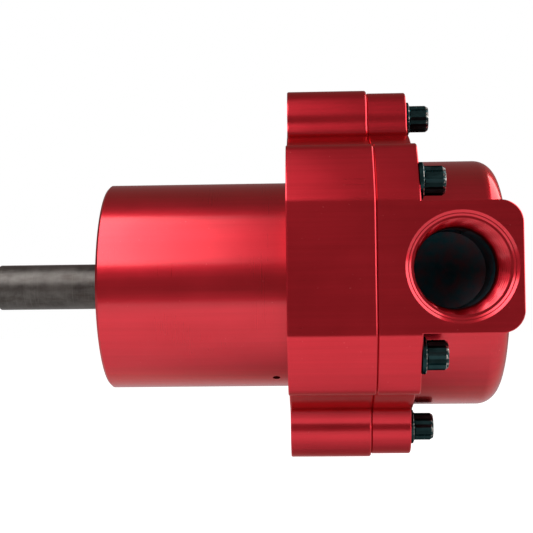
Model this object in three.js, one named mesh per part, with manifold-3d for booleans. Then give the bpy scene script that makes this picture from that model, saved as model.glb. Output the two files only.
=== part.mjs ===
// Shaft-driven rotary pump. A round bearing snout carries the drive shaft, and a lobed casing holds
// an inner and an outer rotor. The end cover has one threaded pipe port on each side.
// Frame, in millimetres: the X axis is the shaft axis and points from the shaft towards the end
// cover, +Z is up, and the ports face -Y and +Y. X = 0 is the rear face of the casing flange.
import * as THREE from 'three';
import { mergeVertices } from 'three/addons/utils/BufferGeometryUtils.js';
import Module from 'manifold-3d';

const wasm = await Module();
wasm.setup();

const GAP = 0.3; // clearance left between neighbouring pieces
const ECCENTRICITY = 3.8; // the casing axis lies this far above the shaft axis

// Casing outline, seen along X and centred on the casing axis.
const BOLT_CIRCLE_R = 54.13;
const BOLT_COUNT = 6;
const SIDE_R = 58.7;
const PAD_Y = 55.1;
const PAD_HALF_HEIGHT = Math.sqrt(SIDE_R ** 2 - PAD_Y ** 2);
const SHOULDER_R = 6.5;
const SHOULDER_TOP = 39.8;
const NECK_R = 48.6;
const NECK_FILLET_R = 6;
const COVER_LOBE_R = 9.3;
const BODY_LOBE_R = 10.3;

// Lengths along X.
const BODY_X1 = 27.5;
const COVER_X0 = BODY_X1 + GAP;
const COVER_X1 = 41.33;
const DOME_X1 = 71.1;
const BLOCK_X1 = 72.2;
const SNOUT_X0 = -62.6;
const CHAMBER_X0 = 9.7;
const BACK_WALL = 3;

const SNOUT_R = 35.73;
const DOME_R = 42.4;
const DOME_EDGE = 7;
const BLOCK_CORNER_R = 7;

// Ports: one inch tapered pipe thread, one on each side of the cover.
const PORT_X = 53.5;
const PORT_CHAMFER_R = 17.3;
const PORT_R = 15.7;
const PORT_DEPTH = 15;
const PORT_END_R = 15.2;
const GALLERY_R = 13.5;
const GALLERY_END_Y = 17;
const KIDNEY_R0 = 22.5;
const KIDNEY_R1 = 32.5;
const KIDNEY_HALF_ANGLE = 0.95;
const KIDNEY_X1 = 58;

// Quarter inch twelve-point flange bolts.
const BOLT_R = 3.175;
const BOLT_LENGTH = 31.75;
const BOLT_HOLE_R = BOLT_R + GAP;
const BOLT_HOLE_END = 7.5;
const BOLT_FLANGE_R = 5.9;
const BOLT_FLANGE_LENGTH = 1.6;
const BOLT_SEAT_X = COVER_X1 + 0.2;
const BOLT_TOP_X = 49.5;
const BOLT_POINTS = 12;
const POINT_OUTER_R = 4.7;
const POINT_INNER_R = 4.2;

const DOWEL_R = 2;
const DOWEL_CIRCLE_R = 50.2;
const DOWEL_HALF_LENGTH = 7;

const RING_R = 43.8; // face seal between body and cover
const RING_SECTION_R = 1.3;

// Shaft, bearings and shaft seal.
const SHAFT_X0 = -103.7;
const SHAFT_R = 15.875 / 2;
const JOURNAL_R = 10;
const JOURNAL_X0 = -61.4;
const TAIL_R = 8;
const TAIL_X1 = 47.5;
const BEARING_R = 23.5;
const BEARING_WIDTH = 14;
const BEARING_PITCH_R = 16.75;
const INNER_SHOULDER_R = 14.4;
const OUTER_SHOULDER_R = 19.1;
const BALL_R = 3.9;
const BALL_COUNT = 8;
const GROOVE_R = BALL_R + GAP + 0.05;
const FRONT_BEARING_X = -52;
const REAR_BEARING_X = -15.5;
const BEARING_BORE_R = BEARING_R + GAP;
const BEARING_STOP_X = REAR_BEARING_X + BEARING_WIDTH / 2 + GAP;
const WEEP_CHAMBER_R = 19.5;
const WEEP_X = -4.5;
const WEEP_R = 1.25;
const WEEP_ANGLE = THREE.MathUtils.degToRad(62.8);
const SEAL_R = 17.5;
const SEAL_X0 = -0.8;
const SNAP_RING_X = -60.2;
const SNAP_RING_WIDTH = 1.5;
const SNAP_RING_R = 25;
const BUSH_R = 12.5;
const BUSH_X1 = 45.5;

// Gerotor pair: the outer rotor's round teeth sit on a circle about the casing axis.
const OUTER_TEETH = 7;
const INNER_TEETH = 6;
const TOOTH_CIRCLE_R = 36;
const TOOTH_R = 10;
const ROOT_R = TOOTH_CIRCLE_R + 2 * ECCENTRICITY - TOOTH_R;
const ROTOR_GAP = 0.2;
const ROTOR_R = 38.5;
const ROTOR_X0 = CHAMBER_X0 + GAP;
const ROTOR_X1 = BODY_X1;
const KEY_HALF_WIDTH = 2.4;
const KEY_R0 = 7.6;
const KEY_R1 = 12.2;
const KEY_X0 = 12;
const KEY_X1 = 25.5;

const RED = { color: 0xb01f2b, roughness: 0.35, metalness: 0.85 };
const BLACK_OXIDE = { color: 0x14201f, roughness: 0.4, metalness: 0.8 };
const DARK_STEEL = { color: 0x4b4743, roughness: 0.45, metalness: 0.9 };
const BRIGHT_STEEL = { color: 0xb4b6b8, roughness: 0.25, metalness: 1 };
const SINTERED_STEEL = { color: 0x77797b, roughness: 0.5, metalness: 0.9 };
const BRONZE = { color: 0xa9773f, roughness: 0.45, metalness: 0.9 };
const RUBBER = { color: 0x17171a, roughness: 0.8, metalness: 0 };

const ALONG_X = new THREE.Matrix4().makeBasis(
  new THREE.Vector3(0, 1, 0),
  new THREE.Vector3(0, 0, 1),
  new THREE.Vector3(1, 0, 0),
);

// ---------------------------------------------------------------- shared builders

// Points along an arc of the given centre and radius, from one angle to another.
function arc(centre, radius, from, to, steps) {
  return Array.from({ length: steps + 1 }, (_, i) => {
    const angle = from + ((to - from) * i) / steps;
    return new THREE.Vector2(centre.x + radius * Math.cos(angle), centre.y + radius * Math.sin(angle));
  });
}

// Drops each point that repeats the one before it, and a last point that repeats the first.
function withoutRepeats(points) {
  return points.filter((point, i) => point.distanceTo(points.at(i - 1)) > 1e-6);
}

// A flat outline in (Y, Z) pulled along X.
function prism(outline, x0, x1) {
  const shape = new THREE.Shape(withoutRepeats(outline));
  const geometry = new THREE.ExtrudeGeometry(shape, { depth: x1 - x0, bevelEnabled: false, steps: 1 });
  return geometry.applyMatrix4(ALONG_X).translate(x0, 0, 0);
}

// A profile of [x, radius] pairs turned about the X axis. It starts and ends on the axis.
function turned(profile, segments) {
  const points = profile.map(([x, r]) => new THREE.Vector2(r, x));
  return new THREE.LatheGeometry(points, segments).rotateZ(-Math.PI / 2);
}

// A ring turned about the X axis from a profile of [x, radius] pairs that closes on itself.
function turnedRing(profile, segments) {
  return turned([...profile, profile[0]], segments);
}

function rod(x0, x1, radius, segments) {
  return turned([[x0, 0], [x0, radius], [x1, radius], [x1, 0]], segments);
}

function tube(x0, x1, innerR, outerR, segments) {
  return turnedRing([[x0, innerR], [x0, outerR], [x1, outerR], [x1, innerR]], segments);
}

function box(low, high) {
  const size = new THREE.Vector3().subVectors(high, low);
  const centre = new THREE.Vector3().addVectors(low, high).multiplyScalar(0.5);
  return new THREE.BoxGeometry(size.x, size.y, size.z).translate(centre.x, centre.y, centre.z);
}

// A position-only mesh with shared corners and no collapsed triangles, as a solid.
function solid(geometry) {
  const bare = new THREE.BufferGeometry().setAttribute('position', geometry.getAttribute('position'));
  const source = geometry.index ? bare.setIndex(geometry.index) : bare;
  const merged = mergeVertices(source, 1e-4);
  const index = merged.index.array;
  const kept = [];
  for (let i = 0; i < index.length; i += 3) {
    const [a, b, c] = index.slice(i, i + 3);
    if (a !== b && b !== c && c !== a) kept.push(a, b, c);
  }
  const vertProperties = new Float32Array(merged.getAttribute('position').array);
  return new wasm.Manifold(new wasm.Mesh({ numProp: 3, vertProperties, triVerts: new Uint32Array(kept) }));
}

function toGeometry(shape) {
  const mesh = shape.getMesh();
  const geometry = new THREE.BufferGeometry();
  geometry.setAttribute('position', new THREE.BufferAttribute(mesh.vertProperties, 3));
  geometry.setIndex(new THREE.BufferAttribute(mesh.triVerts, 1));
  geometry.computeVertexNormals();
  return geometry;
}

function join(...geometries) {
  return geometries.map(solid).reduce((whole, next) => whole.add(next));
}

function cut(whole, ...geometries) {
  return geometries.map(solid).reduce((rest, next) => rest.subtract(next), whole);
}

const pump = new THREE.Group();

function addPart(name, geometry, look) {
  const mesh = new THREE.Mesh(geometry, new THREE.MeshStandardMaterial(look));
  mesh.name = name;
  pump.add(mesh);
  return mesh;
}

// ---------------------------------------------------------------- casing outline

// The centre of a fillet of the given radius that touches two circles from outside, left of a to b.
function filletCentre(a, radiusA, b, radiusB, fillet) {
  const reachA = radiusA + fillet;
  const reachB = radiusB + fillet;
  const line = new THREE.Vector2().subVectors(b, a);
  const distance = line.length();
  const along = (distance ** 2 + reachA ** 2 - reachB ** 2) / (2 * distance);
  const aside = Math.sqrt(reachA ** 2 - along ** 2);
  const unit = line.normalize();
  return new THREE.Vector2(a.x + unit.x * along - unit.y * aside, a.y + unit.y * along + unit.x * aside);
}

function direction(from, to) {
  return Math.atan2(to.y - from.y, to.x - from.x);
}

// One quarter of the outline, from the side pad to the top of the upper lobe.
function outlineQuarter(lobeR) {
  const axis = new THREE.Vector2(0, 0);
  const shoulderHeight = SHOULDER_TOP - SHOULDER_R;
  const shoulderY = Math.sqrt((SIDE_R - SHOULDER_R) ** 2 - shoulderHeight ** 2);
  const shoulder = new THREE.Vector2(shoulderY, shoulderHeight);
  const lobe = new THREE.Vector2(0, BOLT_CIRCLE_R);
  const lower = filletCentre(axis, NECK_R, shoulder, SHOULDER_R, NECK_FILLET_R);
  const upper = filletCentre(lobe, lobeR, axis, NECK_R, NECK_FILLET_R);
  const padAngle = Math.asin(PAD_HALF_HEIGHT / SIDE_R);
  return [
    ...arc(axis, SIDE_R, padAngle, direction(axis, shoulder), 4),
    ...arc(shoulder, SHOULDER_R, direction(axis, shoulder), direction(shoulder, lower), 6),
    ...arc(lower, NECK_FILLET_R, direction(lower, shoulder), direction(lower, axis), 3),
    ...arc(axis, NECK_R, direction(axis, lower), direction(axis, upper), 2),
    ...arc(upper, NECK_FILLET_R, direction(upper, axis) + 2 * Math.PI, direction(upper, lobe), 4),
    ...arc(lobe, lobeR, direction(lobe, upper), Math.PI / 2, 7),
  ];
}

// The whole outline is the same in all four quarters, and stands on the casing axis.
function casingOutline(lobeR) {
  const quarter = outlineQuarter(lobeR);
  const mirrored = (signY, signZ) => quarter.map((p) => new THREE.Vector2(p.x * signY, p.y * signZ));
  const points = [
    ...mirrored(1, 1),
    ...mirrored(-1, 1).reverse(),
    ...mirrored(-1, -1),
    ...mirrored(1, -1).reverse(),
  ];
  return points.map((p) => new THREE.Vector2(p.x, p.y + ECCENTRICITY));
}

// Calls make(y, z, number) for each place on a circle about the casing axis.
function aroundCasing(radius, count, start, make) {
  return Array.from({ length: count }, (_, i) => {
    const angle = start + (2 * Math.PI * i) / count;
    return make(radius * Math.cos(angle), radius * Math.sin(angle) + ECCENTRICITY, i + 1);
  });
}

function aroundBolts(make) {
  return aroundCasing(BOLT_CIRCLE_R, BOLT_COUNT, Math.PI / 2, make);
}

function aroundDowels(make) {
  return aroundCasing(DOWEL_CIRCLE_R, 2, 0, make);
}

// ---------------------------------------------------------------- pump body with its snout

function pumpBody() {
  const edge = 1;
  const grooveR = SNAP_RING_R + GAP;
  const grooveX0 = SNAP_RING_X - SNAP_RING_WIDTH / 2 - GAP;
  const grooveX1 = SNAP_RING_X + SNAP_RING_WIDTH / 2 + GAP;
  const snout = turned(
    [[SNOUT_X0, 0], [SNOUT_X0, SNOUT_R - edge], [SNOUT_X0 + edge, SNOUT_R], [1, SNOUT_R], [1, 0]],
    48,
  );
  const sealX1 = CHAMBER_X0 - BACK_WALL;
  const bore = turned(
    [
      [SNOUT_X0 - 1, 0],
      [SNOUT_X0 - 1, BEARING_BORE_R],
      [grooveX0, BEARING_BORE_R],
      [grooveX0, grooveR],
      [grooveX1, grooveR],
      [grooveX1, BEARING_BORE_R],
      [BEARING_STOP_X, BEARING_BORE_R],
      [BEARING_STOP_X, WEEP_CHAMBER_R],
      [SEAL_X0, WEEP_CHAMBER_R],
      [SEAL_X0, SEAL_R + GAP],
      [sealX1, SEAL_R + GAP],
      [sealX1, JOURNAL_R + GAP],
      [CHAMBER_X0 + 1, JOURNAL_R + GAP],
      [CHAMBER_X0 + 1, 0],
    ],
    32,
  );
  const chamber = rod(CHAMBER_X0, BODY_X1 + 1, ROTOR_R + GAP, 56).translate(0, 0, ECCENTRICITY);
  const weepHole = new THREE.CylinderGeometry(WEEP_R, WEEP_R, 25, 8)
    .translate(0, -30, 0)
    .rotateX(WEEP_ANGLE)
    .translate(WEEP_X, 0, 0);
  return toGeometry(
    cut(
      join(prism(casingOutline(BODY_LOBE_R), 0, BODY_X1), snout),
      bore,
      chamber,
      weepHole,
      faceSealGroove(),
      ...aroundBolts((y, z) => rod(BOLT_HOLE_END, BODY_X1 + 1, BOLT_HOLE_R, 10).translate(0, y, z)),
      ...aroundDowels(dowelHole),
    ),
  );
}

function faceSealGroove() {
  const reach = RING_SECTION_R + GAP;
  const floorX = COVER_X0 - GAP - 2 * RING_SECTION_R - GAP;
  return tube(floorX, BODY_X1 + 1, RING_R - reach, RING_R + reach, 36).translate(0, 0, ECCENTRICITY);
}

function dowelHole(y, z) {
  const reach = DOWEL_HALF_LENGTH + GAP;
  return rod(BODY_X1 - reach, BODY_X1 + reach, DOWEL_R + GAP, 10).translate(0, y, z);
}

addPart('pump_body', pumpBody(), RED);

// ---------------------------------------------------------------- end cover

// Turned relief for one port, drawn along +Y from the gallery's end to the pad.
function portCavity(side) {
  const threadEnd = PAD_Y - PORT_DEPTH;
  const profile = [
    [0, GALLERY_END_Y],
    [GALLERY_R, GALLERY_END_Y],
    [GALLERY_R, threadEnd],
    [PORT_END_R, threadEnd],
    [PORT_R, PAD_Y - (PORT_CHAMFER_R - PORT_R)],
    [PORT_CHAMFER_R, PAD_Y],
    [PORT_CHAMFER_R, PAD_Y + 1],
    [0, PAD_Y + 1],
  ];
  const cavity = new THREE.LatheGeometry(profile.map(([r, y]) => new THREE.Vector2(r, y)), 28);
  if (side < 0) cavity.rotateX(Math.PI);
  return cavity.translate(PORT_X, 0, ECCENTRICITY);
}

// Kidney-shaped passage between the rotor chamber and one gallery.
function kidney(side) {
  const axis = new THREE.Vector2(0, 0);
  const middle = side > 0 ? 0 : Math.PI;
  const from = middle - KIDNEY_HALF_ANGLE;
  const to = middle + KIDNEY_HALF_ANGLE;
  const outline = [...arc(axis, KIDNEY_R1, from, to, 8), ...arc(axis, KIDNEY_R0, to, from, 8)];
  return prism(outline, COVER_X0 - 1, KIDNEY_X1).translate(0, 0, ECCENTRICITY);
}

// The bar that carries both ports: its section is drawn in (X, Z) and it runs along Y.
function portBar() {
  const start = COVER_X1 - 5;
  const half = PAD_HALF_HEIGHT;
  const inset = new THREE.Vector2(BLOCK_X1 - BLOCK_CORNER_R, half - BLOCK_CORNER_R);
  const section = [
    new THREE.Vector2(start, -half),
    ...arc(new THREE.Vector2(inset.x, -inset.y), BLOCK_CORNER_R, -Math.PI / 2, 0, 4),
    ...arc(inset, BLOCK_CORNER_R, 0, Math.PI / 2, 4),
    new THREE.Vector2(start, half),
  ];
  const bar = new THREE.ExtrudeGeometry(new THREE.Shape(section), { depth: 2 * PAD_Y, bevelEnabled: false });
  return bar.translate(0, 0, -PAD_Y).rotateX(Math.PI / 2).translate(0, 0, ECCENTRICITY);
}

function endCover() {
  const rim = arc(new THREE.Vector2(DOME_X1 - DOME_EDGE, DOME_R - DOME_EDGE), DOME_EDGE, Math.PI / 2, 0, 3);
  const dome = turned(
    [[COVER_X1 - 5, 0], [COVER_X1 - 5, DOME_R], ...rim.map((p) => [p.x, p.y]), [DOME_X1, 0]],
    48,
  );
  return toGeometry(
    cut(
      join(prism(casingOutline(COVER_LOBE_R), COVER_X0, COVER_X1), dome, portBar()),
      portCavity(-1),
      portCavity(1),
      kidney(-1),
      kidney(1),
      rod(COVER_X0 - 1, BUSH_X1 + GAP, BUSH_R + GAP, 24),
      rod(COVER_X0, TAIL_X1 + 1, TAIL_R + 2 * GAP, 20),
      ...aroundBolts((y, z) => rod(COVER_X0 - 1, COVER_X1 + 1, BOLT_HOLE_R, 10).translate(0, y, z)),
      ...aroundDowels(dowelHole),
    ),
  );
}

addPart('end_cover', endCover(), RED);

// ---------------------------------------------------------------- fasteners and face seal

function boltGeometry() {
  const edge = 0.6;
  const tipX = BOLT_SEAT_X - BOLT_LENGTH;
  const flangeTop = BOLT_SEAT_X + BOLT_FLANGE_LENGTH;
  const stem = turned(
    [
      [tipX, 0],
      [tipX, BOLT_R - edge],
      [tipX + edge, BOLT_R],
      [BOLT_SEAT_X, BOLT_R],
      [BOLT_SEAT_X, BOLT_FLANGE_R],
      [flangeTop - edge, BOLT_FLANGE_R],
      [flangeTop, POINT_OUTER_R],
      [flangeTop, 0],
    ],
    12,
  );
  const points = Array.from({ length: 2 * BOLT_POINTS }, (_, i) => {
    const radius = i % 2 ? POINT_INNER_R : POINT_OUTER_R;
    const angle = (Math.PI * i) / BOLT_POINTS;
    return new THREE.Vector2(radius * Math.cos(angle), radius * Math.sin(angle));
  });
  return toGeometry(join(stem, prism(points, flangeTop - edge, BOLT_TOP_X)));
}

aroundBolts((y, z, number) => {
  addPart(`cover_bolt_${number}`, boltGeometry(), BLACK_OXIDE).position.set(0, y, z);
});

aroundDowels((y, z, number) => {
  const pin = rod(BODY_X1 - DOWEL_HALF_LENGTH, BODY_X1 + DOWEL_HALF_LENGTH, DOWEL_R, 12);
  addPart(`dowel_pin_${number}`, pin, BRIGHT_STEEL).position.set(0, y, z);
});

const faceSealX = BODY_X1 - RING_SECTION_R;
const faceSeal = new THREE.TorusGeometry(RING_R, RING_SECTION_R, 6, 36).applyMatrix4(ALONG_X);
addPart('cover_seal_ring', faceSeal, RUBBER).position.set(faceSealX, 0, ECCENTRICITY);

// ---------------------------------------------------------------- shaft and its key

function keySlot() {
  const side = KEY_HALF_WIDTH + GAP;
  return box(
    new THREE.Vector3(KEY_X0 - GAP, -side, KEY_R0 - GAP),
    new THREE.Vector3(KEY_X1 + GAP, side, KEY_R1 + GAP),
  );
}

function driveShaft() {
  const chamfer = 1;
  const blank = turned(
    [
      [SHAFT_X0, 0],
      [SHAFT_X0, SHAFT_R - chamfer],
      [SHAFT_X0 + chamfer, SHAFT_R],
      [JOURNAL_X0, SHAFT_R],
      [JOURNAL_X0, JOURNAL_R],
      [ROTOR_X1, JOURNAL_R],
      [ROTOR_X1, TAIL_R],
      [TAIL_X1 - chamfer, TAIL_R],
      [TAIL_X1, TAIL_R - chamfer],
      [TAIL_X1, 0],
    ],
    32,
  );
  return toGeometry(cut(solid(blank), keySlot()));
}

addPart('drive_shaft', driveShaft(), DARK_STEEL);

const rotorKey = box(
  new THREE.Vector3(KEY_X0, -KEY_HALF_WIDTH, KEY_R0),
  new THREE.Vector3(KEY_X1, KEY_HALF_WIDTH, KEY_R1),
);
addPart('rotor_key', rotorKey, BRIGHT_STEEL);

// ---------------------------------------------------------------- gerotor pair

// Inner rotor outline. The centre of an outer tooth, seen from the inner rotor, follows an
// epitrochoid, and the rotor's flank lies one tooth radius inside that path.
function innerRotorOutline(steps) {
  const offset = TOOTH_R + ROTOR_GAP;
  const evenness = 0.78; // shortens the steps in the valleys, where the flank turns fastest
  return Array.from({ length: steps }, (_, i) => {
    const t = (2 * Math.PI * i) / steps;
    const a = t + (evenness / INNER_TEETH) * Math.sin(INNER_TEETH * t);
    const b = OUTER_TEETH * a;
    const path = new THREE.Vector2(
      TOOTH_CIRCLE_R * Math.cos(a) + ECCENTRICITY * Math.cos(b),
      TOOTH_CIRCLE_R * Math.sin(a) + ECCENTRICITY * Math.sin(b),
    );
    const inward = new THREE.Vector2(
      -TOOTH_CIRCLE_R * Math.cos(a) - OUTER_TEETH * ECCENTRICITY * Math.cos(b),
      -TOOTH_CIRCLE_R * Math.sin(a) - OUTER_TEETH * ECCENTRICITY * Math.sin(b),
    ).setLength(offset);
    const flank = path.add(inward);
    return new THREE.Vector2(-flank.y, flank.x); // the first tip points up
  });
}

// Inside of the outer rotor: round teeth standing in from the root circle, the first one on top.
function outerRotorHollow() {
  const root = ROOT_R + ROTOR_GAP;
  const spread = Math.acos((root ** 2 - TOOTH_CIRCLE_R ** 2 - TOOTH_R ** 2) / (2 * TOOTH_CIRCLE_R * TOOTH_R));
  const reach = Math.asin((TOOTH_R * Math.sin(spread)) / root);
  const pitch = (2 * Math.PI) / OUTER_TEETH;
  const origin = new THREE.Vector2(0, 0);
  const points = [];
  for (let tooth = 0; tooth < OUTER_TEETH; tooth += 1) {
    const middle = Math.PI / 2 + tooth * pitch;
    const centre = new THREE.Vector2(Math.cos(middle), Math.sin(middle)).multiplyScalar(TOOTH_CIRCLE_R);
    points.push(...arc(centre, TOOTH_R, middle + 2 * Math.PI - spread, middle + spread, 10));
    points.push(...arc(origin, root, middle + reach, middle + pitch - reach, 3));
  }
  return points;
}

function innerRotor() {
  const blank = prism(innerRotorOutline(14 * INNER_TEETH), ROTOR_X0, ROTOR_X1);
  return toGeometry(cut(solid(blank), rod(0, COVER_X0 + 5, JOURNAL_R + GAP, 24), keySlot()));
}

function outerRotor() {
  const blank = rod(ROTOR_X0, ROTOR_X1, ROTOR_R, 56);
  return toGeometry(cut(solid(blank), prism(outerRotorHollow(), 0, COVER_X0 + 5)));
}

addPart('inner_rotor', innerRotor(), SINTERED_STEEL);
addPart('outer_rotor', outerRotor(), SINTERED_STEEL).position.z = ECCENTRICITY;

// ---------------------------------------------------------------- bearings, seal and spacers

// Groove for the balls, as [x, radius] pairs about a bearing centred on x = 0.
function groove(shoulderR, outward) {
  const rise = outward ? shoulderR - BEARING_PITCH_R : BEARING_PITCH_R - shoulderR;
  const half = Math.acos(rise / GROOVE_R);
  const sign = outward ? 1 : -1;
  return Array.from({ length: 4 }, (_, i) => {
    const angle = -half + (2 * half * i) / 3;
    return [GROOVE_R * Math.sin(angle), BEARING_PITCH_R + sign * GROOVE_R * Math.cos(angle)];
  });
}

function innerRace() {
  const half = BEARING_WIDTH / 2;
  const bore = JOURNAL_R + GAP;
  const track = groove(INNER_SHOULDER_R, false);
  return turnedRing(
    [[half, bore], [-half, bore], [-half, INNER_SHOULDER_R], ...track, [half, INNER_SHOULDER_R]],
    28,
  );
}

function outerRace() {
  const half = BEARING_WIDTH / 2;
  const track = groove(OUTER_SHOULDER_R, true).reverse();
  return turnedRing(
    [[-half, BEARING_R], [half, BEARING_R], [half, OUTER_SHOULDER_R], ...track, [-half, OUTER_SHOULDER_R]],
    28,
  );
}

// Balls and the cage that spaces them, joined into one turning piece.
function ballCage() {
  const ring = tube(-1.5, 1.5, BEARING_PITCH_R - 1.1, BEARING_PITCH_R + 1.1, 24);
  const balls = Array.from({ length: BALL_COUNT }, (_, i) => {
    const angle = (2 * Math.PI * (i + 0.5)) / BALL_COUNT;
    const place = [BEARING_PITCH_R * Math.cos(angle), BEARING_PITCH_R * Math.sin(angle)];
    return new THREE.SphereGeometry(BALL_R, 7, 5).translate(0, ...place);
  });
  return toGeometry(join(ring, ...balls));
}

function addBearing(prefix, x) {
  addPart(`${prefix}_bearing_outer_race`, outerRace(), BRIGHT_STEEL).position.x = x;
  addPart(`${prefix}_bearing_inner_race`, innerRace(), BRIGHT_STEEL).position.x = x;
  addPart(`${prefix}_bearing_cage`, ballCage(), BRONZE).position.x = x;
}

addBearing('front', FRONT_BEARING_X);
addBearing('rear', REAR_BEARING_X);

const spacerX0 = FRONT_BEARING_X + BEARING_WIDTH / 2 + GAP;
const spacerX1 = REAR_BEARING_X - BEARING_WIDTH / 2 - GAP;
addPart('outer_spacer', tube(spacerX0, spacerX1, OUTER_SHOULDER_R, BEARING_R, 28), DARK_STEEL);
addPart('inner_spacer', tube(spacerX0, spacerX1, JOURNAL_R + GAP, INNER_SHOULDER_R, 28), DARK_STEEL);

// Lip seal: a stiff ring with a flexible lip that leans on the shaft towards the chamber.
function shaftSeal() {
  const x1 = CHAMBER_X0 - BACK_WALL - GAP;
  return turnedRing(
    [
      [SEAL_X0, 14],
      [SEAL_X0, SEAL_R],
      [x1, SEAL_R],
      [x1, 16],
      [SEAL_X0 + 1.5, 15.5],
      [x1 - 2, 13],
      [x1 - 2.5, JOURNAL_R + GAP],
      [SEAL_X0 + 1.5, 12.5],
    ],
    24,
  );
}

addPart('shaft_seal', shaftSeal(), RUBBER);
addPart('tail_bush', tube(COVER_X0 + GAP, BUSH_X1, TAIL_R + GAP, BUSH_R, 24), BRONZE);

// Open retaining ring with an eye at each end for pliers.
function snapRing() {
  const opening = 0.32;
  const bandR = 21.8;
  const eyeR = 2.2;
  const eyeCircleR = 22;
  const axis = new THREE.Vector2(0, 0);
  const x0 = SNAP_RING_X - SNAP_RING_WIDTH / 2;
  const x1 = x0 + SNAP_RING_WIDTH;
  const from = Math.PI / 2 + opening;
  const to = Math.PI / 2 - opening + 2 * Math.PI;
  const band = prism([...arc(axis, SNAP_RING_R, from, to, 24), ...arc(axis, bandR, to, from, 24)], x0, x1);
  const eyes = [from, to].map((angle) => new THREE.Vector2(Math.cos(angle), Math.sin(angle)));
  const place = (eye, piece) => piece.translate(0, eye.x * eyeCircleR, eye.y * eyeCircleR);
  const lugs = eyes.map((eye) => place(eye, rod(x0, x1, eyeR, 10)));
  const holes = eyes.map((eye) => place(eye, rod(x0 - 1, x1 + 1, 1, 8)));
  return toGeometry(cut(join(band, ...lugs), ...holes));
}

addPart('snap_ring', snapRing(), DARK_STEEL);

export default pump;
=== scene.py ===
"""Shaft-driven rotary pump: visible pieces, materials, light and camera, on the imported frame."""
import math

import bmesh
import bpy
from mathutils import Matrix, Vector


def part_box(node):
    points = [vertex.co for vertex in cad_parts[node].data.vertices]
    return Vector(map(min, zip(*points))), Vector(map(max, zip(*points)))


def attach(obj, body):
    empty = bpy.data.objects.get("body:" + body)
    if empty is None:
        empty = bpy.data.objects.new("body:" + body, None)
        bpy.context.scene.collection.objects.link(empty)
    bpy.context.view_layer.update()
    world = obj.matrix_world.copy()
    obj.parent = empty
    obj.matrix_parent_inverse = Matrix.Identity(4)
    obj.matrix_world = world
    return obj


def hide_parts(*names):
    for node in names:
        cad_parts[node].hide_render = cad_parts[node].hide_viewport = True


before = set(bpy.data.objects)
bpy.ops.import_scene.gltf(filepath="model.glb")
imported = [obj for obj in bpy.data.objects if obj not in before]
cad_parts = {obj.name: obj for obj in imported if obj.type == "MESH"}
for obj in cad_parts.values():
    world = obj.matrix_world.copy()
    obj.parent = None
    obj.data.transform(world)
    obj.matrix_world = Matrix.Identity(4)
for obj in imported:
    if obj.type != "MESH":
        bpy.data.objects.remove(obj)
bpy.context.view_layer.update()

MM = 0.001
TURN = 2 * math.pi
SHARP_FROM = 28.0


def low(node, axis):
    """Lowest place of a CAD node along an axis, in millimetres."""
    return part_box(node)[0][axis] / MM


def high(node, axis):
    """Highest place of a CAD node along an axis, in millimetres."""
    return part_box(node)[1][axis] / MM


# ------------------------------------------------------------------ driving sizes, in millimetres
X, Y, Z = 0, 1, 2
SNOUT_X0 = low("pump_body", X)
BODY_X1 = high("pump_body", X) + 0.1
COVER_X0 = low("end_cover", X) - 0.1
PORT_X1 = high("end_cover", X)
PAD_Y = high("end_cover", Y)
AXIS_Z = (high("end_cover", Z) + low("end_cover", Z)) / 2
COVER_X1 = 41.33
DOME_X1 = 71.1

SNOUT_R = 35.73
DOME_R = 42.4
DOME_EDGE = 7.0
BAR_CORNER_R = 7.0
BOLT_CIRCLE_R = 54.13
SIDE_R = 58.7
PAD_HALF = math.sqrt(SIDE_R**2 - PAD_Y**2)
SHOULDER_R = 6.5
SHOULDER_TOP = 39.8
NECK_R = 48.6
NECK_FILLET_R = 6.0
CHAMBER_X0 = 9.7
CHAMBER_R = 38.8
BOLT_HOLE_R = 3.4
BEARING_BORE_R = 23.8
SNAP_GROOVE_X = (-61.25, -59.15)
SNAP_GROOVE_R = 25.3
WEEP_X = -4.5
WEEP_R = 1.25
WEEP_ANGLE = -27.2
SHAFT_R = 7.9375
JOURNAL_R = 10
TAIL_R = 8
COVER_LOBE_R = high("end_cover", Z) - AXIS_Z - BOLT_CIRCLE_R
BODY_LOBE_R = high("pump_body", Z) - AXIS_Z - BOLT_CIRCLE_R

PORT_X = 53.5
PORT_CHAMFER_R = 17.3
LEDGE_R = 16.45
THREAD_R = 15.9
THREAD_PITCH = 2.209
THREAD_DEPTH = 1.1
THREAD_LENGTH = 18.0
DARK_FROM_Y = 30.0
GALLERY_R = 12.9
GALLERY_END_Y = 17.0
KIDNEY_X1 = 58
KIDNEY_R = (22.5, 32.5)
KIDNEY_HALF_ANGLE = 0.95


# ------------------------------------------------------------------ camera
def add_camera():
    """Looks along the ports, a little to the left of them and from below the casing's middle."""
    data = bpy.data.cameras.new("camera")
    data.sensor_width = 36.0
    data.lens = 75.06
    data.clip_start = 0.01
    right = Vector((0.99918, 0.03876, -0.01127)).normalized()
    up = Vector((0.01276, -0.03383, 0.99935)).normalized()
    back = right.cross(up)
    turn = Matrix((right, up, back)).transposed().to_4x4()
    camera = bpy.data.objects.new("camera", data)
    bpy.context.scene.collection.objects.link(camera)
    camera.matrix_world = Matrix.Translation((0.00703, -0.39333, -0.00708)) @ turn
    bpy.context.scene.camera = camera


add_camera()


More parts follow.
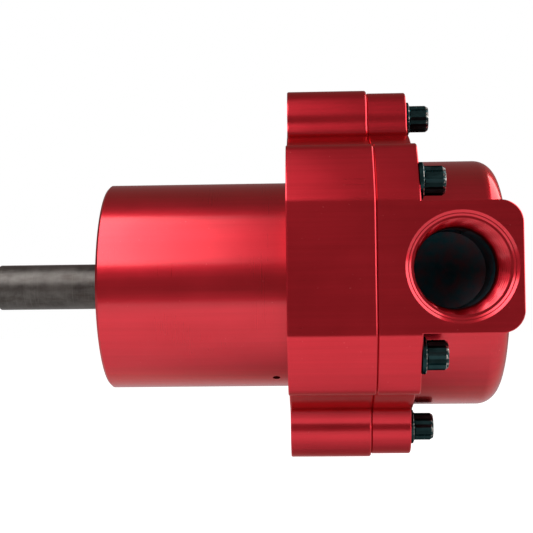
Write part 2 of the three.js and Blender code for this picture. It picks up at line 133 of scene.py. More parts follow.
# ------------------------------------------------------------------ node helpers
class Nodes:
    """Short way to build a material's nodes."""

    def __init__(self, name):
        self.material = bpy.data.materials.new(name)
        self.material.use_nodes = True
        self.tree = self.material.node_tree
        self.shader = next(n for n in self.tree.nodes if n.type == "BSDF_PRINCIPLED")
        self.place = self.tree.nodes.new("ShaderNodeTexCoord").outputs["Object"]

    def add(self, kind, inputs=(), **settings):
        node = self.tree.nodes.new(kind)
        for key, value in settings.items():
            setattr(node, key, value)
        for key, value in dict(inputs).items():
            self.set(node.inputs[key], value)
        return node

    def set(self, socket, value):
        if isinstance(value, bpy.types.NodeSocket):
            self.tree.links.new(value, socket)
        else:
            socket.default_value = value

    def put(self, **values):
        for key, value in values.items():
            self.set(self.shader.inputs[key.replace("_", " ")], value)

    def stretched(self, x, y, z):
        """Object coordinates scaled by axis, in repeats per metre."""
        return self.add("ShaderNodeMapping", {"Vector": self.place, "Scale": (x, y, z)}).outputs[0]

    def noise(self, vector, scale=1.0, detail=3.0, rough=0.5):
        inputs = {"Vector": vector, "Scale": scale, "Detail": detail, "Roughness": rough}
        return self.add("ShaderNodeTexNoise", inputs).outputs["Fac"]

    def span(self, value, from_low, from_high, to_low, to_high):
        """Maps a value from one range to another."""
        inputs = {1: from_low, 2: from_high, 3: to_low, 4: to_high}
        node = self.add("ShaderNodeMapRange", inputs)
        self.set(node.inputs[0], value)
        return node.outputs[0]

    def math(self, operation, a, b=0.0):
        return self.add("ShaderNodeMath", {0: a, 1: b}, operation=operation).outputs[0]

    def blend(self, factor, a, b):
        node = self.add("ShaderNodeMix", data_type="RGBA")
        self.set(node.inputs[0], factor)
        self.set(node.inputs[6], a)
        self.set(node.inputs[7], b)
        return node.outputs[2]

    def bump(self, height, strength, distance, below=None):
        inputs = {"Height": height, "Strength": strength, "Distance": distance}
        node = self.add("ShaderNodeBump", inputs)
        if below is not None:
            self.set(node.inputs["Normal"], below)
        return node.outputs[0]


def rgb(red, green, blue):
    return (red, green, blue, 1.0)


# ------------------------------------------------------------------ materials
def anodised(name, lines):
    """Red anodised aluminium. lines is "turned" for lathe marks, "milled" for straight ones."""
    n = Nodes(name)
    is_turned = lines == "turned"
    across = (2600, 30, 30)
    along = (25, 1500, 1500)
    fine = n.noise(n.stretched(*(across if is_turned else along)), detail=4.0, rough=0.6)
    drawn = n.noise(n.stretched(12, 650, 650), detail=5.0, rough=0.65)
    cloudy = n.noise(n.place, scale=45.0, detail=4.0)
    specks = n.noise(n.place, scale=900.0, detail=2.0)
    speck_mask = n.span(specks, 0.74, 0.78, 0.0, 0.5)
    deep, light = rgb(0.47, 0.010, 0.021), rgb(0.52, 0.014, 0.027)
    base = n.blend(n.span(cloudy, 0.3, 0.7, 0.0, 1.0), deep, light)
    streaked = n.blend(n.span(drawn, 0.4, 0.66, 0.0, 0.35), base, rgb(0.36, 0.006, 0.014))
    spotted = n.blend(speck_mask, streaked, rgb(0.7, 0.1, 0.11))
    grain_rough = n.span(fine, 0.3, 0.7, 0.28, 0.32)
    rough = n.math("ADD", grain_rough, n.span(cloudy, 0.3, 0.7, -0.02, 0.02))
    marks = n.bump(fine, 0.03, 0.00004)
    n.put(Base_Color=spotted, Metallic=1.0, Roughness=rough, Normal=marks)
    coat, coat_rough = (0.75, 0.14) if is_turned else (0.55, 0.2)
    n.put(Coat_Weight=coat, Coat_Roughness=coat_rough, Coat_IOR=1.45)
    n.put(Specular_Tint=rgb(0.75, 0.15, 0.22))
    return n.material


def painted_shade_cavity():
    """Painted shade for the deep inside of the galleries: a dark teal and brown sheet where that
    inside lies in shadow.
    """
    n = Nodes("painted_shade_cavity")
    cloudy = n.noise(n.place, scale=220.0, detail=4.0)
    teal, brown = rgb(0.006, 0.15, 0.19), rgb(0.15, 0.1, 0.12)
    base = n.blend(n.span(cloudy, 0.3, 0.7, 0.0, 1.0), teal, brown)
    n.put(Base_Color=base, Metallic=0.6, Roughness=n.span(cloudy, 0.3, 0.7, 0.42, 0.55))
    n.put(Normal=n.bump(cloudy, 0.1, 0.0001))
    return n.material


def black_oxide():
    n = Nodes("black_oxide")
    cloudy = n.noise(n.place, scale=300.0, detail=4.0)
    grain = n.noise(n.place, scale=2500.0, detail=2.0)
    dark, light = rgb(0.011, 0.028, 0.030), rgb(0.016, 0.038, 0.040)
    base = n.blend(n.span(cloudy, 0.35, 0.65, 0.0, 1.0), dark, light)
    n.put(Base_Color=base, Metallic=1.0, Roughness=n.span(cloudy, 0.3, 0.7, 0.3, 0.42))
    n.put(Specular_Tint=rgb(0.28, 0.32, 0.32))
    n.put(Normal=n.bump(grain, 0.15, 0.00003))
    return n.material


def worn_and_highlit_oxide():
    """Black oxide worn through to pale steel in places, as on the edges of a bolt; the pale steel
    also stands in for a painted highlight on those edges.
    """
    n = Nodes("worn_and_highlit_oxide")
    rubbed_and_highlit = n.noise(n.place, scale=900.0, detail=4.0)
    oxide, steel = rgb(0.016, 0.038, 0.04), rgb(0.32, 0.3, 0.28)
    base = n.blend(n.span(rubbed_and_highlit, 0.49, 0.63, 0.0, 1.0), oxide, steel)
    n.put(Base_Color=base, Metallic=1.0, Roughness=n.span(rubbed_and_highlit, 0.3, 0.7, 0.5, 0.35))
    n.put(Normal=n.bump(rubbed_and_highlit, 0.1, 0.00003))
    return n.material


def shaft_steel():
    """Ground shaft with a dark, blotched surface and fine scratches round it."""
    n = Nodes("shaft_steel")
    blotch = n.noise(n.stretched(130, 130, 130), detail=6.0, rough=0.65)
    rings = n.noise(n.stretched(1800, 25, 25), detail=4.0, rough=0.7)
    stains = n.noise(n.stretched(60, 260, 260), detail=5.0, rough=0.7)
    dark, light = rgb(0.04, 0.036, 0.033), rgb(0.09, 0.084, 0.078)
    base = n.blend(n.span(blotch, 0.35, 0.65, 0.0, 1.0), dark, light)
    base = n.blend(n.span(stains, 0.5, 0.72, 0.0, 0.75), base, rgb(0.03, 0.022, 0.018))
    base = n.blend(n.span(rings, 0.55, 0.75, 0.0, 0.4), base, rgb(0.15, 0.14, 0.13))
    blotch_rough = n.span(blotch, 0.3, 0.7, 0.34, 0.5)
    rough = n.math("ADD", blotch_rough, n.span(rings, 0.3, 0.7, -0.06, 0.06))
    low_bump = n.bump(blotch, 0.2, 0.0001)
    n.put(Base_Color=base, Metallic=0.85, Roughness=rough)
    n.put(Normal=n.bump(rings, 0.2, 0.00006, low_bump))
    return n.material


def plain_metal(name, dark, light, rough_low, rough_high, metallic=1.0):
    """A machined metal with cloudy tone, fine grain and lathe marks."""
    n = Nodes(name)
    cloudy = n.noise(n.place, scale=160.0, detail=4.0)
    marks = n.noise(n.stretched(2200, 60, 60), detail=3.0)
    base = n.blend(n.span(cloudy, 0.3, 0.7, 0.0, 1.0), dark, light)
    n.put(Base_Color=base, Metallic=metallic)
    n.put(Roughness=n.span(marks, 0.3, 0.7, rough_low, rough_high))
    n.put(Normal=n.bump(marks, 0.15, 0.00005))
    return n.material


def rubber():
    n = Nodes("rubber")
    grain = n.noise(n.place, scale=1500.0, detail=3.0)
    dark, light = rgb(0.008, 0.008, 0.009), rgb(0.022, 0.022, 0.024)
    n.put(Base_Color=n.blend(n.span(grain, 0.3, 0.7, 0.0, 1.0), dark, light))
    n.put(Roughness=n.span(grain, 0.3, 0.7, 0.6, 0.8), Normal=n.bump(grain, 0.3, 0.00005))
    return n.material


TURNED_RED = anodised("red_turned", "turned")
MILLED_RED = anodised("red_milled", "milled")
PAINTED_SHADE_CAVITY = painted_shade_cavity()
BLACK_OXIDE = black_oxide()
WORN_AND_HIGHLIT_OXIDE = worn_and_highlit_oxide()
SHAFT_STEEL = shaft_steel()
BRIGHT_STEEL = plain_metal("bright_steel", rgb(0.42, 0.43, 0.44), rgb(0.6, 0.6, 0.61), 0.16, 0.3)
DARK_STEEL = plain_metal("dark_steel", rgb(0.1, 0.1, 0.1), rgb(0.18, 0.175, 0.17), 0.3, 0.5)
SINTERED = plain_metal("sintered_steel", rgb(0.22, 0.22, 0.23), rgb(0.34, 0.34, 0.35), 0.4, 0.6)
BRONZE = plain_metal("bronze", rgb(0.38, 0.22, 0.08), rgb(0.55, 0.35, 0.15), 0.3, 0.5)
RUBBER = rubber()


# ------------------------------------------------------------------ mesh helpers, in millimetres
def arc(centre, radius, start, end, steps):
    """Points of an arc in a plane, from one angle to another."""
    points = []
    for i in range(steps + 1):
        a = start + (end - start) * i / steps
        points.append((centre[0] + radius * math.cos(a), centre[1] + radius * math.sin(a)))
    return points


def distinct(points):
    """The points of a closed outline, with each repeated point left out."""
    return [p for i, p in enumerate(points) if math.dist(p, points[i - 1]) > 1e-5]


def inset(outline, distance):
    """A closed anticlockwise outline moved inwards by a distance, with its corners mitred."""
    moved = []
    count = len(outline)
    for i in range(count):
        before = Vector(outline[i]) - Vector(outline[i - 1])
        after = Vector(outline[(i + 1) % count]) - Vector(outline[i])
        n1 = Vector((before.y, -before.x)).normalized()
        n2 = Vector((after.y, -after.x)).normalized()
        shift = (n1 + n2) / (1 + n1.dot(n2))
        moved.append(tuple(Vector(outline[i]) - distance * shift))
    return moved


def make(name, verts, faces, material):
    """A new object from points in millimetres, faces outwards."""
    mesh = bpy.data.meshes.new(name)
    mesh.from_pydata([Vector(v) * MM for v in verts], [], faces)
    bm = bmesh.new()
    bm.from_mesh(mesh)
    bmesh.ops.remove_doubles(bm, verts=bm.verts, dist=1e-7)
    bmesh.ops.recalc_face_normals(bm, faces=bm.faces)
    bm.to_mesh(mesh)
    bm.free()
    mesh.materials.append(material)
    obj = bpy.data.objects.new(name, mesh)
    bpy.context.scene.collection.objects.link(obj)
    return obj


def loft(name, rings, material, closed=False):
    """Rings of equal length joined by faces. Open lofts get a cap at each end."""
    size = len(rings[0])
    verts = [v for ring in rings for v in ring]
    faces = []
    pairs = len(rings) if closed else len(rings) - 1
    for i in range(pairs):
        a, b = i * size, ((i + 1) % len(rings)) * size
        for j in range(size):
            k = (j + 1) % size
            faces.append((a + j, a + k, b + k, b + j))
    if not closed:
        faces.append(tuple(range(size))[::-1])
        faces.append(tuple(range((len(rings) - 1) * size, len(rings) * size)))
    return make(name, verts, faces, material)


def circle_x(x, radius, segments, y=0.0, z=0.0):
    """A ring of points round the X direction."""
    angles = [TURN * i / segments for i in range(segments)]
    return [(x, y + radius * math.cos(a), z + radius * math.sin(a)) for a in angles]


def turned(name, profile, material, segments=160, y=0.0, z=0.0, closed=False):
    """A profile of (x, radius) turned about a line along X."""
    rings = [circle_x(x, max(r, 0.001), segments, y, z) for x, r in profile]
    return loft(name, rings, material, closed)


def prism(name, outline, levels, material):
    """An outline in (y, z) pulled along X. levels are (x, inset) pairs."""
    rings = []
    for x, d in levels:
        rings.append([(x, p[0], p[1]) for p in (inset(outline, d) if d else outline)])
    return loft(name, rings, material)


def combine(target, others, operation):
    """Joins other objects to the target or cuts them from it, then removes them."""
    for other in others:
        modifier = target.modifiers.new("combine", "BOOLEAN")
        modifier.operation = operation
        modifier.solver = "MANIFOLD"
        modifier.object = other
    bake(target)
    for other in others:
        bpy.data.objects.remove(other)


def bake(target):
    """Replaces an object's mesh by what its modifiers make of it."""
    graph = bpy.context.evaluated_depsgraph_get()
    mesh = bpy.data.meshes.new_from_object(target.evaluated_get(graph))
    target.modifiers.clear()
    old = target.data
    target.data = mesh
    bpy.data.meshes.remove(old)


def paint(target, material, chosen):
    """Gives a material to the faces whose middle, in millimetres, passes a test."""
    target.data.materials.append(material)
    slot = len(target.data.materials) - 1
    for face in target.data.polygons:
        if chosen(face.center / MM, face.normal):
            face.material_index = slot


def smooth(target):
    """Smooth shading that keeps edges sharper than an angle."""
    mesh = target.data
    mesh.shade_smooth()
    mesh.set_sharp_from_angle(angle=math.radians(SHARP_FROM))
    modifier = target.modifiers.new("weighted", "WEIGHTED_NORMAL")
    modifier.keep_sharp = True
    modifier.weight = 80


def finish_piece(target, body, slot, *nodes):
    """Smooths a piece and ties it to the frame."""
    smooth(target)
    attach(target, body)
    if nodes:
        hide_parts(*nodes)


# ------------------------------------------------------------------ casing outline
def fillet_centre(a, radius_a, b, radius_b, fillet):
    """Centre of a fillet that touches two circles from outside, left of the line from a to b."""
    reach_a = radius_a + fillet
    reach_b = radius_b + fillet
    line = Vector(b) - Vector(a)
    distance = line.length
    along = (distance**2 + reach_a**2 - reach_b**2) / (2 * distance)
    aside = math.sqrt(reach_a**2 - along**2)
    unit = line.normalized()
    return (a[0] + unit.x * along - unit.y * aside, a[1] + unit.y * along + unit.x * aside)


def direction(start, end):
    return math.atan2(end[1] - start[1], end[0] - start[0])


def casing_outline(lobe_r):
    """The lobed outline about the casing axis, anticlockwise in (y, z)."""
    axis = (0.0, 0.0)
    height = SHOULDER_TOP - SHOULDER_R
    shoulder = (math.sqrt((SIDE_R - SHOULDER_R) ** 2 - height**2), height)
    lobe = (0.0, BOLT_CIRCLE_R)
    lower = fillet_centre(axis, NECK_R, shoulder, SHOULDER_R, NECK_FILLET_R)
    upper = fillet_centre(lobe, lobe_r, axis, NECK_R, NECK_FILLET_R)
    quarter = [
        *arc(axis, SIDE_R, math.asin(PAD_HALF / SIDE_R), direction(axis, shoulder), 12),
        *arc(shoulder, SHOULDER_R, direction(axis, shoulder), direction(shoulder, lower), 20),
        *arc(lower, NECK_FILLET_R, direction(lower, shoulder), direction(lower, axis), 12),
        *arc(axis, NECK_R, direction(axis, lower), direction(axis, upper), 8),
        *arc(upper, NECK_FILLET_R, direction(upper, axis) + TURN, direction(upper, lobe), 14),
        *arc(lobe, lobe_r, direction(lobe, upper), math.pi / 2, 24),
    ]
    whole = []
    for sign_y, sign_z in ((1, 1), (-1, 1), (-1, -1), (1, -1)):
        points = [(p[0] * sign_y, p[1] * sign_z) for p in quarter]
        whole += points if sign_y == sign_z else points[::-1]
    return [(y, z + AXIS_Z) for y, z in distinct(whole)]


def bolt_places():
    """(y, z) of each cover bolt, in the order of their numbers."""
    boxes = [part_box(f"cover_bolt_{i}") for i in range(1, 7)]
    return [((lo.y + hi.y) / 2 / MM, (lo.z + hi.z) / 2 / MM) for lo, hi in boxes]


def bolt_holes(x0, x1):
    profile = [(x0, 0), (x0, BOLT_HOLE_R), (x1, BOLT_HOLE_R), (x1, 0)]
    return [turned("hole", profile, MILLED_RED, 32, y, z) for y, z in bolt_places()]


# ------------------------------------------------------------------ pump body
def build_body():
    front_depth, front_edge = 0.23, 0.41
    seam_depth, seam_edge = 0.32, 0.48
    flange = prism(
        "body_shell",
        casing_outline(BODY_LOBE_R),
        [(0, front_depth), (front_edge, 0), (BODY_X1 - seam_edge, 0), (BODY_X1, seam_depth)],
        MILLED_RED,
    )
    edge = 0.8
    snout_profile = [(SNOUT_X0, 0), (SNOUT_X0, SNOUT_R - edge), (SNOUT_X0 + edge, SNOUT_R)]
    snout_profile += [(3, SNOUT_R), (3, 0)]
    combine(flange, [turned("snout", snout_profile, TURNED_RED, 200)], "UNION")
    bore_profile = [
        (SNOUT_X0 - 1, 0),
        (SNOUT_X0 - 1, 25.2),
        (SNOUT_X0 + 0.6, BEARING_BORE_R),
        (SNAP_GROOVE_X[0], BEARING_BORE_R),
        (SNAP_GROOVE_X[0], SNAP_GROOVE_R),
        (SNAP_GROOVE_X[1], SNAP_GROOVE_R),
        (SNAP_GROOVE_X[1], BEARING_BORE_R),
        (-8.2, BEARING_BORE_R),
        (-8.2, 19.5),
        (-0.8, 19.5),
        (-0.8, 17.8),
        (6.7, 17.8),
        (6.7, 10.3),
        (12, 10.3),
        (12, 0),
    ]
    bore = turned("bore", bore_profile, TURNED_RED, 128)
    chamber_profile = [(CHAMBER_X0, 0), (CHAMBER_X0, CHAMBER_R), (30, CHAMBER_R), (30, 0)]
    chamber = turned("chamber", chamber_profile, TURNED_RED, 128, z=AXIS_Z)
    weep = turned("weep", [(15, 0), (15, WEEP_R), (45, WEEP_R), (45, 0)], TURNED_RED, 32)
    weep.data.transform(Matrix.Rotation(math.radians(90), 4, "Y"))
    weep.data.transform(Matrix.Rotation(math.radians(WEEP_ANGLE), 4, "X"))
    weep.data.transform(Matrix.Translation((WEEP_X * MM, 0, 0)))
    combine(flange, [bore, chamber, weep, *bolt_holes(7.5, 30)], "DIFFERENCE")
    paint(flange, TURNED_RED, lambda c, _: c.x < -0.01)
    finish_piece(flange, "housing", "red_anodised", "pump_body")


# ------------------------------------------------------------------ end cover
def thread_form(phase):
    """Depth of a sixty degree thread with flat crests and roots, from 0 to 1 over one turn."""
    return min(1.0, max(0.0, 1.15 * (1 - abs(2 * phase - 1)) - 0.08))


def port_cutter(side):
    """What one port takes out of the cover: gallery, helical thread, ledge and chamfers."""
    segments = 160
    rows = 130
    rows_in = 30
    rows_out = 6
    mouth = PAD_Y - 0.95
    start = mouth - THREAD_LENGTH
    drill_tip_y = GALLERY_END_Y - 0.6 * GALLERY_R
    rings = [(drill_tip_y, 0.001, 0), (GALLERY_END_Y, GALLERY_R, 0), (start, GALLERY_R, 0)]
    for i in range(rows + 1):
        y = start + THREAD_LENGTH * i / rows
        crest = GALLERY_R + (THREAD_R - THREAD_DEPTH - GALLERY_R) * i / rows
        rings.append((y, crest, min(1.0, i / rows_in, (rows - i) / rows_out)))
    rings += [
        (mouth + 0.02, THREAD_R - 0.35, 0),
        (PAD_Y - 0.55, THREAD_R + 0.25, 0),
        (PAD_Y - 0.53, LEDGE_R, 0),
        (PAD_Y, PORT_CHAMFER_R, 0),
        (PAD_Y + 1, PORT_CHAMFER_R, 0),
        (PAD_Y + 1, 0.001, 0),
    ]
    placed = []
    for y, radius, depth in rings:
        ring = []
        for j in range(segments):
            phase = (y / THREAD_PITCH - side * j / segments) % 1.0
            r = radius + depth * THREAD_DEPTH * thread_form(phase)
            a = TURN * j / segments
            ring.append((PORT_X + r * math.cos(a), side * y, AXIS_Z + r * math.sin(a)))
        placed.append(ring)
    return loft("port", placed, TURNED_RED)


def kidney_cutter(side):
    """The passage from the rotors to one gallery."""
    middle = 0.0 if side > 0 else math.pi
    first, last = middle - KIDNEY_HALF_ANGLE, middle + KIDNEY_HALF_ANGLE
    outer = arc((0, 0), KIDNEY_R[1], first, last, 32)
    inner = arc((0, 0), KIDNEY_R[0], last, first, 32)
    outline = [(y, z + AXIS_Z) for y, z in outer + inner]
    return prism("kidney", outline, [(COVER_X0 - 1, 0), (KIDNEY_X1, 0)], TURNED_RED)


def port_bar():
    """The bar that carries both ports, drawn in (x, z) and run along Y."""
    start = COVER_X1 - 5
    corner_x = PORT_X1 - BAR_CORNER_R
    corner_z = PAD_HALF - BAR_CORNER_R
    section = [
        (start, -PAD_HALF),
        *arc((corner_x, -corner_z), BAR_CORNER_R, -math.pi / 2, 0, 16),
        *arc((corner_x, corner_z), BAR_CORNER_R, 0, math.pi / 2, 16),
        (start, PAD_HALF),
    ]
    edge = 0.25
    rings = []
    for y, d in ((-PAD_Y, edge), (-PAD_Y + edge, 0), (PAD_Y - edge, 0), (PAD_Y, edge)):
        rings.append([(p[0], y, p[1] + AXIS_Z) for p in (inset(section, d) if d else section)])
    return loft("bar", rings, MILLED_RED)


def is_dome(centre, _normal):
    """Whether a face of the cover belongs to the turned dome."""
    radius = math.hypot(centre.y, centre.z)
    beside_bar = abs(centre.z - AXIS_Z) > PAD_HALF
    return centre.x > COVER_X1 + 0.1 and radius < DOME_R + 0.1 and beside_bar


def port_distance(centre):
    """How far a point of the cover is from the ports' common axis."""
    return math.hypot(centre.x - PORT_X, centre.z - AXIS_Z)


def is_port(centre, _normal):
    """Whether a face of the cover belongs to a port's thread or chamfer."""
    below_pad = PAD_Y - 0.02 > abs(centre.y) > DARK_FROM_Y
    return below_pad and port_distance(centre) < PORT_CHAMFER_R - 0.05


def gets_painted_shade(centre, _normal):
    """Whether a face of the cover lies deep inside, past a port's thread or in a kidney, where the
    painted shade goes.
    """
    height = abs(centre.z - AXIS_Z)
    gallery = abs(centre.y) <= DARK_FROM_Y and port_distance(centre) < GALLERY_R + 0.1
    radius = math.hypot(centre.y, height)
    kidney = COVER_X0 + 0.5 < centre.x < KIDNEY_X1 + 0.5
    kidney = kidney and KIDNEY_R[0] - 0.5 < radius < KIDNEY_R[1] + 0.5 and height < 30
    return gallery or kidney


def build_cover():
    seam_edge = 0.42
    edge = 0.35
    start = 36
    cover = prism(
        "cover_shell",
        casing_outline(COVER_LOBE_R),
        [(COVER_X0, seam_edge), (COVER_X0 + seam_edge, 0), (COVER_X1 - edge, 0), (COVER_X1, edge)],
        MILLED_RED,
    )
    rim = arc((DOME_X1 - DOME_EDGE, DOME_R - DOME_EDGE), DOME_EDGE, math.pi / 2, 0, 20)
    dome = turned("dome", [(start, 0), (start, DOME_R), *rim, (DOME_X1, 0)], TURNED_RED, 240)
    combine(cover, [dome, port_bar()], "UNION")
    bush_profile = [(20, 0), (20, 12.8), (45.8, 12.8), (45.8, 8.6), (48.5, 8.6), (48.5, 0)]
    bush_bore = turned("bush", bush_profile, TURNED_RED, 64)
    cutters = [port_cutter(-1), port_cutter(1), kidney_cutter(-1), kidney_cutter(1), bush_bore]
    combine(cover, cutters + bolt_holes(20, 45), "DIFFERENCE")
    paint(cover, TURNED_RED, is_dome)
    paint(cover, TURNED_RED, is_port)
    # the deep inside of the ports and kidneys gets painted shade, a dark sheet where it lies in
    # shadow
    paint(cover, PAINTED_SHADE_CAVITY, gets_painted_shade)
    finish_piece(cover, "housing", "red_anodised", "end_cover")


# ------------------------------------------------------------------ bolts
def twelve_point(angle, flat_r):
    """Radius of two crossed hexagons at an angle."""
    step = math.pi / 3
    first = (angle + step / 2) % step - step / 2
    second = angle % step - step / 2
    return flat_r / min(math.cos(first), math.cos(second))


def build_bolt(number, y, z):
    """One twelve-point flange bolt. Its stem is round, and its head is cut from two hexagons."""
    segments = 144
    flat_r = 4.07
    node = f"cover_bolt_{number}"
    seat = COVER_X1
    top = high(node, X)
    tip = low(node, X)
    stem = [
        (tip, 0.001),
        (tip, 2.6),
        (tip + 0.7, 3.17),
        (seat, 3.17),
        (seat, 5.75),
        (seat + 0.15, 5.9),
        (seat + 1.1, 5.9),
        (seat + 1.3, 5.7),
        (seat + 1.42, 5.3),
        (seat + 1.55, 4.95),
    ]
    head = [
        (seat + 1.9, 4.72),
        (seat + 2.4, 4.7),
        (top - 1.0, 4.7),
        (top - 0.9, 4.64),
        (top - 0.12, 4.1),
        (top, 3.9),
        (top, 2.0),
        (top - 0.35, 1.7),
        (top - 0.4, 0.001),
    ]
    rings = [circle_x(x, r, segments, y, z) for x, r in stem]
    for x, limit in head:
        ring = []
        for j in range(segments):
            a = TURN * j / segments
            r = min(limit, twelve_point(a, flat_r))
            ring.append((x, y + r * math.cos(a), z + r * math.sin(a)))
        rings.append(ring)

    # the end chamfer and flange rim: worn edges, painted pale as a highlight too
    def is_worn_or_highlit(centre, _normal):
        on_flange = seat + 1.1 < centre.x < seat + 1.42
        return on_flange or top - 0.9 < centre.x < top - 0.01

    bolt = loft(f"bolt_{number}", rings, BLACK_OXIDE)
    paint(bolt, WORN_AND_HIGHLIT_OXIDE, is_worn_or_highlit)
    finish_piece(bolt, "housing", "black_oxide", node)


# ------------------------------------------------------------------ shaft
def build_shaft():
    """The plain shaft end with its worn chamfer, the journal inside, and the tail."""
    x0 = low("drive_shaft", X)
    x1 = high("drive_shaft", X)
    profile = [
        (x0, 0.001),
        (x0, SHAFT_R - 1.0),
        (x0 + 0.15, SHAFT_R - 0.85),
        (x0 + 0.9, SHAFT_R - 0.1),
        (x0 + 1.1, SHAFT_R),
        (-63.3, SHAFT_R),
        (-62.9, SHAFT_R - 0.35),
        (-61.4, SHAFT_R - 0.35),
        (-61.4, JOURNAL_R - 0.4),
        (-61.0, JOURNAL_R),
        (27.5, JOURNAL_R),
        (27.5, TAIL_R),
        (x1 - 1, TAIL_R),
        (x1, TAIL_R - 1),
        (x1, 0.001),
    ]
    shaft = turned("shaft", profile, SHAFT_STEEL, 128)
    finish_piece(shaft, "shaft_group", "dark_steel", "drive_shaft")


# ------------------------------------------------------------------ front bearing, at the snout's end
def build_bearing():
    """Both races of the front bearing, and the rubber shield between them."""
    x0 = low("front_bearing_outer_race", X)
    x1 = high("front_bearing_outer_race", X)
    outer_r = high("front_bearing_outer_race", Y)
    bore_r = 10.2
    inner_top = 13.6
    outer_low = 19.9
    outer = [
        (x0, outer_r - 0.7),
        (x0 + 0.2, outer_r - 0.2),
        (x0 + 0.7, outer_r),
        (x1 - 0.5, outer_r),
        (x1, outer_r - 0.5),
        (x1, outer_low),
        (x0 + 0.25, outer_low),
        (x0, outer_low + 0.25),
    ]
    inner = [
        (x0, bore_r + 0.6),
        (x0 + 0.6, bore_r),
        (x1 - 0.5, bore_r),
        (x1, bore_r + 0.5),
        (x1, inner_top),
        (x0 + 0.25, inner_top),
        (x0, inner_top - 0.25),
    ]
    shield = [
        (x0 + 0.3, inner_top + 0.25),
        (x0 + 0.25, inner_top + 0.9),
        (x0 + 0.55, inner_top + 1.2),
        (x0 + 0.55, outer_low - 1.6),
        (x0 + 0.2, outer_low - 1.3),
        (x0 + 0.2, outer_low - 0.1),
        (x0 + 1.1, outer_low - 0.1),
        (x0 + 1.1, inner_top + 0.25),
    ]
    outer_race = turned("bearing_outer", outer, BRIGHT_STEEL, 128, closed=True)
    inner_race = turned("bearing_inner", inner, BRIGHT_STEEL, 96, closed=True)
    rubber_ring = turned("bearing_shield", shield, RUBBER, 128, closed=True)
    finish_piece(outer_race, "housing", "bright_steel", "front_bearing_outer_race")
    finish_piece(inner_race, "shaft_group", "bright_steel", "front_bearing_inner_race")
    finish_piece(rubber_ring, "housing", "rubber")


build_body()
build_cover()
build_bearing()
for index, (bolt_y, bolt_z) in enumerate(bolt_places(), 1):
    build_bolt(index, bolt_y, bolt_z)
build_shaft()


# ------------------------------------------------------------------ carried-over CAD nodes
CARRIED = {
    BRIGHT_STEEL: ["dowel_pin_1", "dowel_pin_2", "rotor_key", "rear_bearing_outer_race",
                   "rear_bearing_inner_race"],
    SINTERED: ["inner_rotor", "outer_rotor"],
    BRONZE: ["front_bearing_cage", "rear_bearing_cage", "tail_bush"],
    DARK_STEEL: ["outer_spacer", "inner_spacer", "snap_ring"],
    RUBBER: ["cover_seal_ring", "shaft_seal"],
}
for carried_material, names in CARRIED.items():
    for carried_name in names:
        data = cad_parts[carried_name].data
        data.materials.clear()
        data.materials.append(carried_material)


# ------------------------------------------------------------------ stage and light, in metres
FLOOR_Z = -0.12
FLOOR_FRONT = -0.36
KEY_LAYERS = ((-0.15, 2.4), (-0.11, 1.2), (-0.06, 1.2), (-0.01, 0.45))
# The room's glow by direction: axis, then from low, from high, to low, to high.
ROOM_GLOW = (
    ("Y", -1.0, 1.0, 0.26, 0.19),
    ("Z", -0.22, -0.03, 0.12, 0.0),
    ("Z", 0.06, 0.22, 0.0, 0.07),
)


def add_light(name, place, target, size, radiance):
    """A rectangular soft box that faces the target, all in metres."""
    data = bpy.data.lights.new(name, "AREA")
    data.shape = "RECTANGLE"
    data.size, data.size_y = size
    data.energy = radiance * math.pi * size[0] * size[1]
    light = bpy.data.objects.new(name, data)
    bpy.context.scene.collection.objects.link(light)
    light.location = place
    facing = (Vector(target) - Vector(place)).to_track_quat("-Z", "Y")
    light.rotation_euler = facing.to_euler()


def add_key(step, right_edge, radiance):
    """One layer of the key soft box, above and in front; later layers reach further right."""
    width, height = 0.7, 0.7
    distance = 0.6 + 0.01 * step
    angle = math.radians(51)
    middle = right_edge - width / 2
    place = (middle, -distance * math.cos(angle), distance * math.sin(angle))
    add_light(f"key_{step}", place, (middle, 0, 0), (width, height), radiance)


def floor_material():
    """White to the eye. In reflections its glow carries painted shade, dimmer towards the back and
    right, and a painted shadow under the pump.
    """
    n = Nodes("pale_floor")
    tone = n.noise(n.place, scale=3.0, detail=2.0)
    base = n.blend(tone, rgb(0.28, 0.28, 0.28), rgb(0.32, 0.32, 0.32))
    place = n.add("ShaderNodeSeparateXYZ", {"Vector": n.place}).outputs
    below = (0.03, 0.01, FLOOR_Z)
    under = n.add("ShaderNodeVectorMath", {0: n.place, 1: below}, operation="DISTANCE")
    # painted shadow: the floor's glow falls off under the pump
    shade = n.span(under.outputs["Value"], 0.02, 0.1, 0.1, 1.0)
    to_back = n.span(place["Y"], -0.3, 0.3, 1.0, 0.2)
    to_right = n.span(place["X"], -0.1, 0.25, 1.0, 0.72)
    dimmer = n.math("MULTIPLY", n.math("MULTIPLY", to_back, to_right), shade)
    seen = n.add("ShaderNodeLightPath").outputs["Is Camera Ray"]
    lit = n.math("MAXIMUM", n.math("MULTIPLY", seen, 0.97), dimmer)
    n.put(Base_Color=base, Roughness=0.7, Emission_Color=rgb(1, 1, 1), Emission_Strength=lit)
    return n.material


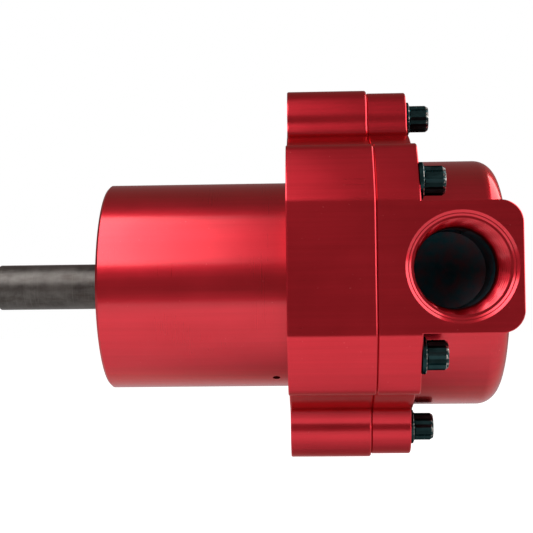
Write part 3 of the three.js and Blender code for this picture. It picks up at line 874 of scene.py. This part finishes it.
def add_floor():
    """A pale table top that ends in front, so that the dark room shows in the metal."""
    side, back = 2.5, 3.5
    corners = [(-side, FLOOR_FRONT), (side, FLOOR_FRONT), (side, back), (-side, back)]
    points = [Vector((x, y, FLOOR_Z)) / MM for x, y in corners]
    make("floor", points, [(0, 1, 2, 3)], floor_material())


def set_world():
    """White behind the object for the camera, and a dim room for reflections."""
    world = bpy.data.worlds.new("studio")
    bpy.context.scene.world = world
    world.use_nodes = True
    tree = world.node_tree
    output = next(n for n in tree.nodes if n.type == "OUTPUT_WORLD")
    room = next(n for n in tree.nodes if n.type == "BACKGROUND")
    room.inputs["Color"].default_value = rgb(1.0, 0.76, 0.72)
    place = tree.nodes.new("ShaderNodeTexCoord")
    split = tree.nodes.new("ShaderNodeSeparateXYZ")
    tree.links.new(place.outputs["Generated"], split.inputs[0])
    glows = []
    for axis, *slope in ROOM_GLOW:
        part = tree.nodes.new("ShaderNodeMapRange")
        for socket, value in zip(part.inputs[1:5], slope):
            socket.default_value = value
        tree.links.new(split.outputs[axis], part.inputs[0])
        glows.append(part.outputs[0])
    strength = glows[0]
    for glow in glows[1:]:
        total = tree.nodes.new("ShaderNodeMath")
        tree.links.new(strength, total.inputs[0])
        tree.links.new(glow, total.inputs[1])
        strength = total.outputs[0]
    tree.links.new(strength, room.inputs["Strength"])
    white = tree.nodes.new("ShaderNodeBackground")
    white.inputs["Color"].default_value = rgb(1, 1, 1)
    white.inputs["Strength"].default_value = 1.0
    path = tree.nodes.new("ShaderNodeLightPath")
    mix = tree.nodes.new("ShaderNodeMixShader")
    tree.links.new(path.outputs["Is Camera Ray"], mix.inputs[0])
    tree.links.new(room.outputs[0], mix.inputs[1])
    tree.links.new(white.outputs[0], mix.inputs[2])
    tree.links.new(mix.outputs[0], output.inputs["Surface"])


bpy.context.scene.view_settings.view_transform = "Standard"
set_world()
add_floor()
for step, (right_edge, radiance) in enumerate(KEY_LAYERS):
    add_key(step, right_edge, radiance)
add_light("side", (0.52, 0.0, 0.25), (0.06, 0, 0.02), (0.9, 0.64), 3.6)
